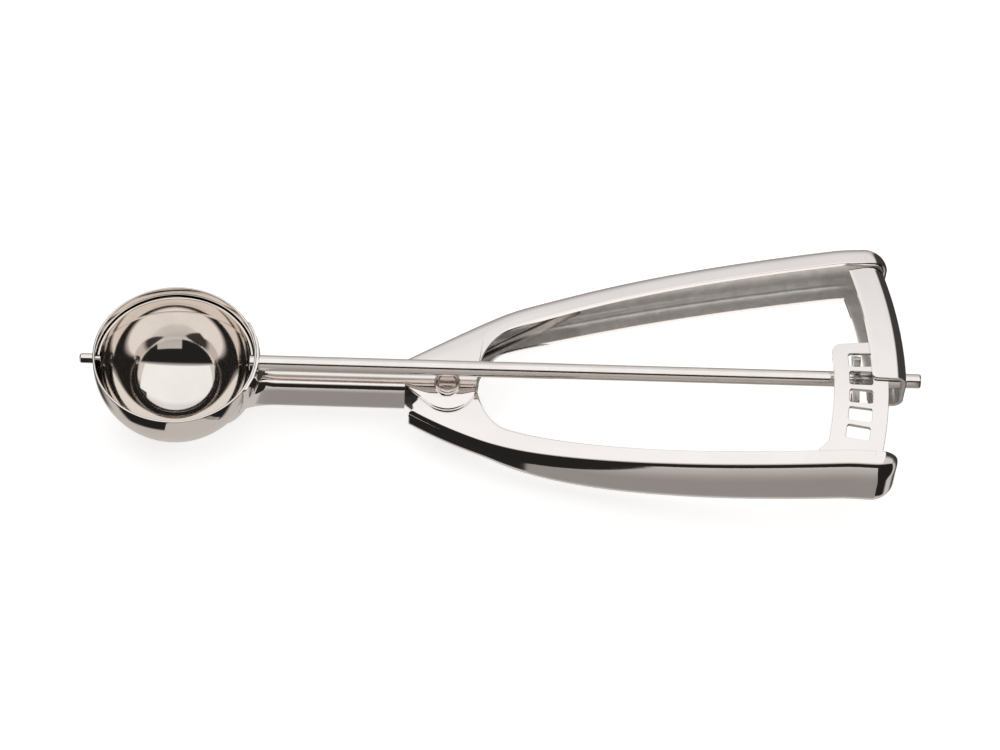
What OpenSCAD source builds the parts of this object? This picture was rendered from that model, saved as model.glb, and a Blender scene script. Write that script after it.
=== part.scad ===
// Lever ice cream scoop: a hemispherical bowl, a pressed steel handle with a squeeze
// lever, and a drive rod that turns a thin scraper band round the inside of the bowl.
//
// The rod's axis is the X axis and the centre of the bowl is the origin. +X runs to the
// handle's end, +Z points out of the bowl's mouth, and the squeeze lever is at -Y.

/* [Bowl] */
// Outer radius of the bowl
bowl_r = 22.5; // [18:0.5:30]
// Wall of the bowl
bowl_wall = 0.7; // [0.5:0.1:1.2]
// Height of the rim above the rod's axis
rim_h = 3.4; // [2.8:0.1:6]

/* [Scraper] */
// Thickness of the scraper band
band_t = 0.5; // [0.3:0.1:0.8]
// Width of the scraper band, measured along the bowl's wall
band_w = 6.2; // [4:0.2:9]
// Gap between the band and the bowl's wall
band_gap = 0.35; // [0.2:0.05:0.8]
// Radius of the stub that carries the band on the left
stub_r = 1.4; // [1:0.1:2]
// Free length of the stub outside the bowl
stub_len = 3.6; // [2:0.2:6]
// Radius of the stub's journal in the bowl's wall
stub_neck_r = 0.8; // [0.6:0.1:1]

/* [Drive rod and pinion] */
// Radius of the drive rod
rod_r = 2.2; // [1.8:0.1:2.5]
// Radius of the rod's free end behind the strap
end_r = 2; // [1.4:0.05:2]
// Length that stands out behind the strap
tail_len = 4.6; // [3:0.2:10]
// Chamfer on the ends of the rod and the stub
end_chamfer = 0.5; // [0.2:0.1:0.7]
// How far the rod and the stub stand inside the band
rod_inside = 0.5; // [0.3:0.1:1]
// Number of teeth on the pinion
teeth = 6; // [5:1:8]
// Thickness of the pinion plate
pinion_t = 1.8; // [1.4:0.1:2.4]
// How far a tooth stands past the rack's middle plane
tooth_tip = 1.5; // [1:0.1:1.8]
// Depth of a tooth below the rack's middle plane
tooth_root = 1.7; // [1.4:0.1:2]
// Thickness of a tooth at its root
tooth_base_w = 2.2; // [1.6:0.1:2.4]
// Thickness of a tooth at its tip
tooth_tip_w = 1.3; // [1:0.1:1.6]
// Radius of the pinion's hub
hub_r = 3.1; // [2.8:0.1:3.4]
// Length of the pinion's hub
hub_len = 4.3; // [2:0.1:5]

/* [Rack plate] */
// Distance from the pivot to the middle of the slots
rack_r = 113.4; // [105:0.2:120]
// Angle between slots, seen from the pivot
rack_pitch = 3; // [2.8:0.05:3.3]
// Number of slots
rack_slots = 5; // [4:1:6]
// Angle of the first slot from the lengthwise direction
rack_first = 2.25; // [2:0.05:2.5]
// Length of a slot, towards the pivot
slot_len = 6.4; // [5.8:0.1:7]
// Width of a slot, round the pivot
slot_w = 4.4; // [4.1:0.1:4.6]
// Corner radius of a slot
slot_corner = 0.7; // [0.4:0.1:1]
// Width of the rack plate
rack_w = 15; // [13:0.5:17]
// Thickness of the rack plate
rack_t = 1.2; // [0.8:0.1:1.4]
// Corner radius of the plate's free end
rack_corner = 2.7; // [1:0.1:4]
// Angle of plate left beyond the first slot
rack_lead = 2.85; // [2.4:0.05:3.5]
// Width that the plate gains where it meets the lever
rack_flare = 2; // [1:0.1:3]

/* [Pressed handle] */
// Sheet thickness of the handle and the lever
sheet = 1.2; // [1:0.1:1.5]
// Distance of the pivot from the bowl's centre
pivot_x = 75; // [70:0.5:82]
// Sideways place of the pivot
pivot_y = -2; // [-3:0.25:-1]
// Radius of the pivot ears
ear_r = 8.1; // [7:0.1:9]
// How much smaller the lever's ears are
ear_step = 0.9; // [0.5:0.1:1.5]
// Upper face of the neck and the pivot ears, below the rod's axis
ear_drop = 4.6; // [4.2:0.1:5]
// Depth of the arms' flanges
flange = 6.4; // [5.2:0.1:7.4]
// Extra depth of the flanges at the crotch
crotch_fill = 1.2; // [0.8:0.1:2]
// Length over which that extra depth fades
crotch_fade = 22; // [18:1:26]
// Radius of the crotch between the arms
crotch_r = 8.5; // [7:0.5:13]
// Spread of the fixed arm at its far end
fixed_spread = 43.2; // [41:0.2:45]
// Spread of the fixed arm's bow where it leaves the neck
fixed_root = 11.3; // [10.5:0.1:12]
// Length over which the fixed arm bows outwards
fixed_bow = 58; // [53:1:63]
// How far before the neck's end the fixed arm starts to bow
bow_lead = 2.8; // [2:0.1:3.5]
// Spread of the lever at its far end
lever_spread = 36.4; // [34:0.2:38]
// Spread of the lever at its near end
lever_root = 10.7; // [10.2:0.1:11.5]
// Length over which the lever bows outwards
lever_bow = 42; // [38:1:46]
// Where the arms' upper faces start to rise
rise_x = 101.3; // [99:0.5:103]
// How far past the strap's inner edge the upper faces go on rising
rise_past = 1.4; // [1:0.1:3]
// Height of the channels at their far end
arm_h = 18.8; // [17:0.2:21]
// Length over which the channels grow to their full height
grow_len = 31; // [26:1:38]
// Corner radius of the arms' closed ends
end_corner = 6.5; // [5:0.5:7]

/* [Neck] */
// Width of the neck
neck_w = 9.2; // [8:0.2:11]
// Height of the neck
neck_h = 10.8; // [10:0.2:12]
// Corner radius of the neck
neck_corner = 2; // [1.5:0.1:3]
// Where the neck ends and the arm starts
neck_end = 63.3; // [60:0.1:64]
// Width of the saddle on the bowl
saddle_w = 23; // [20:0.5:26]
// Thickness of the saddle
saddle_t = 0.9; // [0.7:0.1:1.2]
// Corner radius of the saddle's lower edge
saddle_corner = 4.5; // [3:0.5:6]
// How far the saddle reaches below the neck
saddle_drop = 1.2; // [0.8:0.1:2]
// Length of the flare between the saddle and the neck
flare_len = 4.5; // [3.5:0.5:8]
// How much wider than the neck the flare is on each side at the saddle
flare_side = 4.6; // [3:0.2:5.5]
// How much the flare rises above the neck at the saddle
flare_up = 1.8; // [1:0.1:2]

/* [End strap] */
// Gap between the rack plate's outer edge and the inner face of the strap's web
strap_gap = 4.1; // [3.5:0.1:6]
// Gap between the rack plate and the strap's upper flange
rack_cover = 0.13; // [0.1:0.01:0.4]
// Depth of the strap's flanges
strap_depth = 9.7; // [7:0.1:10.5]
// Height of the strap
strap_h = 14.2; // [12:0.2:15]
// Sheet thickness of the strap
strap_t = 1; // [0.8:0.1:1.2]
// Outer corner radius of the strap
strap_corner = 3; // [2:0.1:3.5]
// How far the strap reaches past the rod
strap_past = 4; // [3.5:0.1:5]
// How far the strap reaches into the fixed arm's channel
strap_tuck = 1.4; // [1:0.1:1.6]

/* [Pivot and spring] */
// Radius of the pivot rivet's shank
rivet_r = 1.95; // [1.6:0.05:2.2]
// Radius of the rivet's heads
rivet_head_r = 3.6; // [3.2:0.1:4.2]
// Thickness of the rivet's heads
rivet_head_t = 1.1; // [0.8:0.1:1.4]
// Radius of the dish in the upper head
dish_r = 3; // [2.4:0.1:3.1]
// Depth of the dish
dish_depth = 0.7; // [0.4:0.1:0.8]
// Outer radius of the spacer bush on the rivet
bush_r = 3; // [2.8:0.1:3.4]
// Thickness of the spring strip
spring_t = 0.9; // [0.6:0.1:1]
// Width of the spring strip
spring_w = 4; // [3:0.2:4.6]
// Where the spring's tips rest on the webs
spring_tip_x = 112; // [105:1:120]
// Where the spring's legs bend, beyond the pivot
spring_bend_x = 6; // [5:0.5:7]
// Where the spring's legs bend, to each side of the pivot
spring_bend_y = 10.6; // [10:0.1:11.2]

/* [Fits] */
// Running clearance on the radius of bores that carry a moving piece
run_gap = 0.05; // [0.03:0.01:0.1]
// Gap between pieces that slide past or lie beside each other
side_gap = 0.1; // [0.08:0.02:0.14]

/* [Hidden] */
$fn = 64;
fine = 128;
far = 400;
over = 1;
steps = 24;
web_power = 1.3;
edge_power = 2;
flare_rings = 6;
small_chamfer = 0.1;

steel = "silver";
steel_dull = "darkgray";

// bowl and scraper
bowl_in_r = bowl_r - bowl_wall;
band_out_r = bowl_in_r - band_gap;
band_in_r = band_out_r - band_t;
band_angle = band_w / band_out_r * 180 / PI;
stub_x = bowl_r + side_gap;

// levels of the sheet-metal layers, from the pivot ears down
ear_top = -ear_drop;
ear_bottom = ear_top - neck_h;
neck_mid = (ear_top + ear_bottom) / 2;
lever_top = ear_top - sheet - side_gap;
lever_bottom = ear_bottom + sheet + side_gap;
bush_top = lever_top - sheet - side_gap / 2;
bush_bottom = lever_bottom + sheet + side_gap / 2;

// saddle and flare, from the bowl's wall to the neck
saddle_r = bowl_r + side_gap / 2;
saddle_bottom = ear_bottom - saddle_drop;
flare_top = ear_top + flare_up;
flare_bottom = ear_bottom - saddle_drop / 2;
flare_w = neck_w + 2 * flare_side;
neck_start = saddle_r + saddle_t + flare_len;

// the pinion's plate lies just inside the middle of the slots
pinion_x = pivot_x + rack_r - slot_len / 8;
pinion_pitch_r = (pinion_x - pivot_x) * rack_pitch * teeth / 360;
tooth_tip_r = pinion_pitch_r + tooth_tip;
tooth_root_r = pinion_pitch_r - tooth_root;
rack_z = pinion_pitch_r;
rod_bearing = atan(-pivot_y / (pinion_x - pivot_x));
tooth_phase = (rack_first - rod_bearing) * (360 / teeth) / rack_pitch;

// arcs round the pivot: the rack plate's edges and the strap's outer face
rack_in = rack_r - rack_w / 2;
rack_out = rack_r + rack_w / 2;
strap_r = rack_out + strap_gap + strap_t;

// strap over the rack plate, and the arms' upper faces, which rise to clear the strap
strap_top = rack_z + rack_t / 2 + rack_cover + strap_t;
strap_in_x = pivot_x + sqrt(pow(strap_r - strap_depth, 2) - pow(fixed_spread, 2));
strap_cover = strap_top + sheet + side_gap / 2;
arm_rise = (strap_cover + ear_drop) / (strap_in_x - rise_x);
arm_top = strap_cover + arm_rise * rise_past;

// near and far ends of the two arms
bow_start = neck_end - bow_lead;
neck_slope = 0.65;
web_blend = 1.2;
rise_blend = 0.5;
top_blend = 0.1;
grow_blend = 1;
grow_lead = 3;
grow_x = pivot_x + ear_r + grow_lead;
corner_from = 80;
ear_join = 240;
lever_lip = 0.6;
lever_cut = 3;
lever_start = neck_end + sheet;
lever_ear_r = ear_r - ear_step;
crotch_x = pivot_x + ear_r - side_gap / 2;
arm_in_y = web(1, strap_in_x) - flange - pivot_y;
arm_end = pivot_x + sqrt(pow(strap_r, 2) - pow(arm_in_y, 2)) + side_gap + sheet;
corner_x = arm_end - end_corner;
closing = asin(max(0, end_corner - flange) / end_corner);

// strap's middle, its two ends and what passes through its web
strap_mid = strap_top - strap_h / 2;
strap_end_y = web(1, corner_x) - flange + strap_tuck;
strap_web_x = pivot_x + sqrt(pow(strap_r - strap_t, 2) - pow(pivot_y, 2));
end_shoulder = pivot_x + sqrt(pow(strap_r, 2) - pow(pivot_y, 2)) + side_gap;
rod_end = pivot_x + strap_r + tail_len;

// rack plate, and the tab that holds it under the lever's upper flange
rack_high = rack_first + rack_lead;
tab_edge = web(-1, corner_x) - flange;
rack_low = -asin((tab_edge + pivot_y) / rack_r);
tab_depth = flange - sheet - 5 * side_gap;
tab_bite = 0.15;
tab_t = arm_top - sheet - side_gap / 2 - (rack_z + rack_t / 2) + tab_bite;
tab_lap = 1.5;
flare_run = 3;

// return spring
spring_mid = (bush_top + bush_bottom) / 2;
coil_r = bush_r + 2 * side_gap;

// Smooth minimum of two values, rounded over about w
function soft_min(a, b, w) = min(a, b) - w * ln(1 + exp(-abs(a - b) / w));
// Smooth ramp: 0 below 0 and x above 0, rounded over about w
function ramp(x, w) = x > 8 * w ? x : w * ln(1 + exp(x / w));

// Points of an arc round c from angle a0 to a1 in n steps
function arc(c, r, a0, a1, n) =
    [for (i = [0 : n]) c + r * [cos(a0 + (a1 - a0) * i / n), sin(a0 + (a1 - a0) * i / n)]];
// Rounded rectangle with its centre at the origin
function round_rect(w, h, r) = concat(
    arc([w / 2 - r, h / 2 - r], r, 0, 90, 6), arc([r - w / 2, h / 2 - r], r, 90, 180, 6),
    arc([r - w / 2, r - h / 2], r, 180, 270, 6), arc([w / 2 - r, r - h / 2], r, 270, 360, 6));
// Places from a to b, closer together at the start when power is above 1
function along(a, b, power) = [for (i = [0 : steps]) a + (b - a) * pow(i / steps, power)];
function reversed(list) = [for (i = [len(list) - 1 : -1 : 0]) list[i]];

// Outer face of an arm's web, as a distance from the rod's plane: side is 1 for the fixed
// arm at +Y and -1 for the lever at -Y
function web(side, x) = side > 0
    ? soft_min(neck_w / 2 + neck_slope * (x - bow_start),
               bowed(fixed_spread, fixed_root, x - bow_start, fixed_bow), web_blend)
    : bowed(lever_spread, lever_root, x - lever_start, lever_bow);
function bowed(spread, root, run, length) = spread - (spread - root) * exp(-run / length);

// Inner edge of the flanges, which runs into the crotch
function straight_edge(side, x) = web(side, x) - flange - crotch_fill * exp((crotch_x - x) / crotch_fade);
function inner_edge(side, x) = let (u = max(0, min(1, (crotch_x + crotch_r - x) / crotch_r)))
    straight_edge(side, x) - straight_edge(side, crotch_x) * (1 - sqrt(1 - u * u));

// Upper face of an arm whose ears have their upper face at top, and the channel's height
function top_z(x, top) =
    soft_min(top + ramp(arm_rise * (x - rise_x) - ear_drop - top, rise_blend), arm_top, top_blend);
function tall(x, h) = arm_h - (arm_h - h) * exp(-ramp(x - grow_x, grow_blend) / grow_len);

// ---- Pressed channels ----

// The fixed arm is drawn at +Y and the lever at -Y
module on_side(side) {
    if (side > 0)
        children();
    else
        mirror([0, 1])
            children();
}

// Plan of an arm between its web and its inner edge
module arm_plan(side, from) {
    corner_y = web(side, corner_x) - end_corner;
    on_side(side)
        polygon(concat(
            [for (x = along(from, corner_x, web_power)) [x, web(side, x)]],
            arc([corner_x, corner_y], end_corner, corner_from, closing, 8),
            end_corner < flange ? [[arm_end, corner_y + end_corner - flange]] : [],
            [for (x = reversed(along(crotch_x, corner_x, edge_power))) [x, inner_edge(side, x)]],
            [[from, 0]]));
}

// Room inside the channel, open towards the rod
module arm_hollow_plan(side, from) {
    corner_y = web(side, corner_x) - end_corner;
    on_side(side)
        polygon(concat(
            [for (x = along(from, corner_x, web_power)) [x, web(side, x) - sheet]],
            arc([corner_x, corner_y], end_corner - sheet, corner_from, 0, 8),
            [[arm_end - sheet, -2 * ear_r], [from, -2 * ear_r]]));
}

// Side view of a channel, extruded across the object; inset thins it by the sheet
module arm_side(top, bottom, from, inset) {
    xs = along(from, arm_end + over, 1);
    rotate([90, 0, 0])
        linear_extrude(far, center = true)
            polygon(concat(
                [for (x = xs) [x, top_z(x, top) - inset]],
                [for (x = reversed(xs)) [x, top_z(x, top) - tall(x, top - bottom) + inset]]));
}

// Channel of a plan, hollow inside and open towards the rod
module channel(side, top, bottom, from) {
    difference() {
        intersection() {
            linear_extrude(far, center = true)
                children();
            arm_side(top, bottom, from - over, 0);
        }
        intersection() {
            linear_extrude(far, center = true)
                arm_hollow_plan(side, from - over);
            arm_side(top, bottom, from - over, sheet);
        }
    }
}

// Runs through every ear, round the rivet's shank
module pivot_bore() {
    translate([pivot_x, pivot_y, ear_bottom - over])
        cylinder(h = neck_h + 2 * over, r = rivet_r + run_gap);
}

module neck_tube(x0, x1, inset) {
    translate([x0, 0, neck_mid])
        rotate([90, 0, 90])
            linear_extrude(x1 - x0)
                polygon(round_rect(neck_w - 2 * inset, neck_h - 2 * inset, neck_corner - inset));
}

// One pressing: the neck, the two pivot ears and the fixed arm of the handle
module fixed_handle() {
    color(steel)
        difference() {
            union() {
                channel(1, ear_top, ear_bottom, neck_end)
                    fixed_outline();
                difference() {
                    neck_tube(neck_start, neck_end, 0);
                    neck_tube(neck_start - over, neck_end + over, sheet);
                }
            }
            pivot_bore();
        }
}

module fixed_outline() {
    intersection() {
        union() {
            arm_plan(1, neck_end - over);
            translate([pivot_x, pivot_y])
                circle(ear_r);
            polygon([[neck_end, neck_corner - neck_w / 2], [neck_end, sheet], [crotch_x, sheet],
                     [crotch_x, pivot_y],
                     [pivot_x + ear_r * cos(ear_join), pivot_y + ear_r * sin(ear_join)]]);
        }
        translate([neck_end, -far / 2])
            square(far);
    }
}

// The lever: its ears sit between those of the fixed handle
module squeeze_lever() {
    color(steel)
        difference() {
            channel(-1, lever_top, lever_bottom, lever_start)
                lever_outline();
            pivot_bore();
        }
}

module lever_outline() {
    ear_x = pivot_x - lever_ear_r;
    difference() {
        arm_plan(-1, lever_start);
        polygon([[lever_start - over, over], [lever_start - over, 2 * lever_lip - lever_root],
                 [lever_start, lever_lip - lever_root], [ear_x, pivot_y - lever_cut],
                 [ear_x, over]]);
        translate([ear_x - over, pivot_y])
            square(far);
    }
    translate([pivot_x, pivot_y])
        circle(lever_ear_r);
}

// ---- Bowl, saddle and strap ----

module bowl() {
    color(steel)
        difference() {
            rotate_extrude($fn = fine)
                bowl_profile();
            bore_along_rod(0, rod_r + run_gap);
            bore_along_rod(-bowl_r - over, stub_neck_r + run_gap, bowl_r);
        }
}

module bowl_profile() {
    difference() {
        union() {
            circle(bowl_r, $fn = fine);
            square([bowl_r, rim_h]);
        }
        circle(bowl_in_r, $fn = fine);
        square([bowl_in_r, rim_h + over]);
        translate([-2 * bowl_r, -2 * bowl_r])
            square([2 * bowl_r, 4 * bowl_r]);
        translate([0, rim_h])
            square(2 * bowl_r);
    }
}

module bore_along_rod(x, r, length = far) {
    translate([x, 0, 0])
        rotate([0, 90, 0])
            cylinder(h = length, r = r);
}

// The bowl's outer form, grown to radius r
module ball(r) {
    sphere(r, $fn = fine);
    cylinder(h = rim_h + over, r = r, $fn = fine);
}

// The flared end of the neck: a plate on the bowl's wall up to the rim, and the flare
module bowl_saddle() {
    color(steel)
        difference() {
            union() {
                intersection() {
                    ball(saddle_r + saddle_t);
                    rotate([90, 0, 90])
                        linear_extrude(far)
                            saddle_window();
                }
                flare(0, 0);
            }
            ball(saddle_r);
            flare(saddle_t, over);
            bore_along_rod(0, rod_r + 3 * run_gap);
        }
}

// Outline of the plate in the Y-Z plane
module saddle_window() {
    translate([-saddle_w / 2, saddle_bottom + saddle_corner])
        square([saddle_w, rim_h - saddle_bottom - saddle_corner]);
    translate([saddle_corner - saddle_w / 2, saddle_bottom])
        square([saddle_w - 2 * saddle_corner, saddle_corner + over]);
    for (side = [-1, 1])
        translate([side * (saddle_w / 2 - saddle_corner), saddle_bottom + saddle_corner])
            circle(saddle_corner);
}

// Ring of the flare: t is 0 on the bowl and 1 on the neck; inset thins the wall
function flare_ring(t, inset) =
    let (wide = round_rect(flare_w - 2 * inset, flare_top - flare_bottom - 2 * inset,
                           saddle_corner - inset),
         narrow = round_rect(neck_w - 2 * inset, neck_h - 2 * inset, neck_corner - inset),
         wide_mid = (flare_top + flare_bottom) / 2,
         s = 1 - sqrt(1 - pow(1 - t, 2)))
    [for (i = [0 : len(wide) - 1])
        let (wy = wide[i][0],
             wz = wide_mid + wide[i][1],
             nz = neck_mid + narrow[i][1],
             x0 = sqrt(pow(bowl_r, 2) - wy * wy - wz * wz))
        [x0 + (neck_start - x0) * t, narrow[i][0] + (wy - narrow[i][0]) * s, nz + (wz - nz) * s]];

// Solid flare; past lengthens it at both ends so that it can cut the lining
module flare(inset, past) {
    n = len(round_rect(10, 10, 1));
    rings = concat([[for (p = flare_ring(0, inset)) p - [bowl_wall + past, 0, 0]]],
                   [for (k = [0 : flare_rings]) flare_ring(k / flare_rings, inset)],
                   past > 0 ? [[for (p = flare_ring(1, inset)) p + [past, 0, 0]]] : []);
    last = len(rings) - 1;
    sides = [for (k = [0 : last - 1]) for (i = [0 : n - 1]) let (j = (i + 1) % n, a = k * n)
        each [[a + i, a + n + i, a + n + j], [a + i, a + n + j, a + j]]];
    ends = [[for (i = [0 : n - 1]) i], [for (i = [n - 1 : -1 : 0]) last * n + i]];
    polyhedron([for (r = rings) each r], concat(sides, ends), convexity = 4);
}

// The strap is a channel bent round the pivot, open towards it
module end_strap() {
    start = asin((-strap_past - pivot_y) / strap_r);
    stop = asin((strap_end_y - pivot_y) / strap_r);
    color(steel)
        difference() {
            translate([pivot_x, pivot_y, strap_mid])
                rotate([0, 0, start])
                    rotate_extrude(angle = stop - start, $fn = 256)
                        difference() {
                            translate([strap_r, 0])
                                strap_section(strap_depth, strap_h, strap_corner);
                            translate([strap_r - strap_t, 0])
                                strap_section(strap_depth, strap_h - 2 * strap_t,
                                              strap_corner - strap_t);
                        }
            bore_along_rod(strap_web_x - 2 * strap_t, rod_r + run_gap);
        }
}

// Rectangle left of the origin whose two right corners are round
module strap_section(w, h, r) {
    translate([-w, -h / 2])
        square([w - r, h]);
    translate([-2 * r, r - h / 2])
        square([2 * r, h - 2 * r]);
    for (s = [-1, 1])
        translate([-r, s * (h / 2 - r)])
            circle(r);
}

// ---- Rod, pinion and scraper ----

// Shaft along X from x0 to x1 with a chamfer at each end
module shaft(x0, x1, r, near_chamfer, far_chamfer) {
    translate([x0, 0, 0])
        rotate([0, 90, 0])
            rotate_extrude()
                polygon([[0, 0], [r - near_chamfer, 0], [r, near_chamfer],
                         [r, x1 - x0 - far_chamfer], [r - far_chamfer, x1 - x0], [0, x1 - x0]]);
}

module drive_rod() {
    color(steel) {
        shaft(band_in_r - rod_inside, end_shoulder, rod_r, small_chamfer, small_chamfer);
        shaft(end_shoulder - over, rod_end, end_r, small_chamfer, end_chamfer);
    }
}

module pinion_gear() {
    color(steel_dull)
        translate([pinion_x - pinion_t / 2, 0, 0])
            rotate([90, 0, 90])
                difference() {
                    union() {
                        linear_extrude(pinion_t)
                            pinion_face();
                        cylinder(h = pinion_t + hub_len, r = hub_r);
                    }
                    translate([0, 0, -over])
                        cylinder(h = pinion_t + hub_len + 2 * over, r = rod_r);
                }
}

// Face of the pinion in the Y-Z plane, with a tooth in each engaged slot
module pinion_face() {
    circle(tooth_root_r);
    for (i = [0 : teeth - 1])
        rotate(-tooth_phase + i * 360 / teeth)
            polygon([[-tooth_base_w / 2, 0], [-tooth_base_w / 2, tooth_root_r],
                     [-tooth_tip_w / 2, tooth_tip_r], [tooth_tip_w / 2, tooth_tip_r],
                     [tooth_base_w / 2, tooth_root_r], [tooth_base_w / 2, 0]]);
}

// Thin band on the bowl's wall: a slice of a hollow ball between two planes through the rod
module scraper_blade() {
    color(steel)
        difference() {
            intersection() {
                difference() {
                    sphere(band_out_r, $fn = fine);
                    sphere(band_in_r, $fn = fine);
                }
                rotate([90, 0, 90])
                    linear_extrude(far, center = true)
                        polygon([[0, 0], [far, 0], far * [cos(band_angle), -sin(band_angle)]]);
            }
            bore_along_rod(0, rod_r);
            bore_along_rod(-bowl_r, stub_neck_r, bowl_r);
        }
}

// Stub outside the bowl, with a thinner journal through the bowl's wall
module scraper_pin() {
    color(steel_dull) {
        shaft(-stub_x - stub_len, -stub_x, stub_r, end_chamfer, small_chamfer);
        shaft(-stub_x - over, rod_inside - band_in_r, stub_neck_r, small_chamfer, small_chamfer);
    }
}

// ---- Rack plate ----

module rack_plate() {
    color(steel)
        difference() {
            intersection() {
                linear_extrude(far, center = true)
                    rack_plan();
                union() {
                    translate([0, -tab_edge, rack_z - rack_t / 2])
                        cube([far, far, rack_t]);
                    rack_tab();
                }
            }
            for (i = [0 : rack_slots - 1])
                translate([pivot_x, pivot_y, 0])
                    rotate(rack_first - i * rack_pitch)
                        translate([rack_r, 0, 0])
                            linear_extrude(far, center = true)
                                polygon(round_rect(slot_len, slot_w, slot_corner));
        }
}

module rack_plan() {
    c = [pivot_x, pivot_y];
    free_in = rack_high - rack_corner / rack_in * 180 / PI;
    free_out = rack_high - rack_corner / rack_out * 180 / PI;
    flare_start = rack_low + flare_run / rack_in * 180 / PI;
    tab_in = c + rack_in * [cos(rack_low), sin(rack_low)] - [rack_flare, 0];
    tab_out = c + rack_out * [cos(rack_low), sin(rack_low)];
    polygon(concat(
        arc(c, rack_in, flare_start, free_in, 10),
        arc(c + (rack_in + rack_corner) * [cos(free_in), sin(free_in)],
            rack_corner, 180 + rack_high, 90 + rack_high, 6),
        arc(c + (rack_out - rack_corner) * [cos(free_out), sin(free_out)],
            rack_corner, 90 + rack_high, rack_high, 6),
        arc(c, rack_out, free_out, rack_low, 12),
        [[tab_out[0], -tab_edge - tab_depth], [tab_in[0], -tab_edge - tab_depth], tab_in]));
}

// Strip that follows the underside of the lever's upper flange
module rack_tab() {
    xs = along(lever_start - over, arm_end + over, 1);
    under = sheet + side_gap / 2;
    rotate([90, 0, 0])
        translate([0, 0, tab_edge - tab_lap])
            linear_extrude(tab_depth + 2 * tab_lap)
                polygon(concat([for (x = xs) [x, top_z(x, lever_top) - under]],
                               [for (x = reversed(xs)) [x, top_z(x, lever_top) - under - tab_t]]));
}

// ---- Pivot and spring ----

module pivot_rivet() {
    color(steel_dull)
        translate([pivot_x, pivot_y, 0])
            difference() {
                union() {
                    translate([0, 0, ear_top])
                        cylinder(h = rivet_head_t, r = rivet_head_r);
                    translate([0, 0, ear_bottom - rivet_head_t])
                        cylinder(h = rivet_head_t, r = rivet_head_r);
                    translate([0, 0, ear_bottom - rivet_head_t / 2])
                        cylinder(h = neck_h + rivet_head_t, r = rivet_r);
                }
                translate([0, 0, ear_top + rivet_head_t - dish_depth])
                    cylinder(h = rivet_head_t, r = dish_r);
            }
}

module pivot_bush() {
    color(steel_dull)
        translate([pivot_x, pivot_y, bush_bottom])
            difference() {
                cylinder(h = bush_top - bush_bottom, r = bush_r);
                translate([0, 0, -over])
                    cylinder(h = bush_top - bush_bottom + 2 * over, r = rivet_r + run_gap);
            }
}

// One half of the flat spring's loop with its leg; the leg ends on the arm's web
module spring_half(side) {
    tip = [spring_tip_x, side * (web(side, spring_tip_x) - sheet - spring_t)];
    bend = [pivot_x + spring_bend_x, pivot_y + side * spring_bend_y];
    hold = [pivot_x, pivot_y + side * (coil_r + spring_t / 2)];
    half = spring_w / 2;
    translate([0, 0, side > 0 ? spring_mid : spring_mid - half])
        linear_extrude(half) {
            difference() {
                translate([pivot_x, pivot_y])
                    circle(coil_r + spring_t);
                translate([pivot_x, pivot_y])
                    circle(coil_r);
            }
            strip(hold, bend);
        }
    translate([0, 0, spring_mid - half])
        linear_extrude(spring_w)
            strip(bend, tip);
}

// Flat strip from a to b on edge
module strip(a, b) {
    across = [a[1] - b[1], b[0] - a[0]] / norm(b - a) * spring_t / 2;
    polygon([a - across, b - across, b + across, a + across]);
}

module spring_fixed_leg() {
    color(steel_dull)
        spring_half(1);
}

module spring_lever_leg() {
    color(steel_dull)
        spring_half(-1);
}

bowl();
bowl_saddle();
fixed_handle();
end_strap();
pivot_rivet();
pivot_bush();
spring_fixed_leg();
squeeze_lever();
rack_plate();
spring_lever_leg();
drive_rod();
pinion_gear();
scraper_blade();
scraper_pin();
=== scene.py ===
import bmesh
import bpy
from math import acos, asin, atan, cos, degrees, exp, hypot, log, pi, radians, sin, sqrt, tan
from mathutils import Matrix, Vector


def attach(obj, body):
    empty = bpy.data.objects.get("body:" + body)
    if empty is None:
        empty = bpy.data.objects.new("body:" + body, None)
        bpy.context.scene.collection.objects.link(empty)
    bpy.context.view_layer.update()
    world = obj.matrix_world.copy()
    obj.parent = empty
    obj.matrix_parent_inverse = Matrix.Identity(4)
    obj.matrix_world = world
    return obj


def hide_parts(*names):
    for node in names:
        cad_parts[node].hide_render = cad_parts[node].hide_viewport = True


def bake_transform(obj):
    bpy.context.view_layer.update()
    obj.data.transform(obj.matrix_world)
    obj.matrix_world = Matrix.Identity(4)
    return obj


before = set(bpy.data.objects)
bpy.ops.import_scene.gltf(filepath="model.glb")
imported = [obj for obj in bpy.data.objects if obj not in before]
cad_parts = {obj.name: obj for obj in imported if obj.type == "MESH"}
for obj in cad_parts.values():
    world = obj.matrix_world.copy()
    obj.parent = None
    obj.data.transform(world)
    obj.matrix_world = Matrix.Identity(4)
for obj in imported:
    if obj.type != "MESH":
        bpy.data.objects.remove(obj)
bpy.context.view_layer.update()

MM = 0.001

# ---- Sizes of the scoop ----

BOWL_R, BOWL_WALL, RIM_H, LIP_R = 22.5, 0.7, 3.4, 0.33
BAND_T, BAND_W, BAND_GAP = 0.5, 6.2, 0.35
STUB_R, STUB_LEN, STUB_NECK_R = 1.4, 3.6, 0.8
ROD_R, END_R, TAIL_LEN, END_CHAMFER, ROD_INSIDE = 2.2, 2.0, 4.6, 0.5, 0.5
TEETH, PINION_T, TOOTH_TIP, TOOTH_ROOT = 6, 1.8, 1.5, 1.7
TOOTH_BASE_W, TOOTH_TIP_W, HUB_R, HUB_LEN = 2.2, 1.3, 3.1, 4.3
RACK_R, RACK_PITCH, RACK_SLOTS, RACK_FIRST = 113.4, 3.0, 5, 2.25
SLOT_LEN, SLOT_W, SLOT_CORNER = 6.4, 4.4, 0.7
RACK_W, RACK_T, RACK_CORNER, RACK_LEAD, RACK_FLARE = 15.0, 1.2, 2.7, 2.85, 2.0
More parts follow.
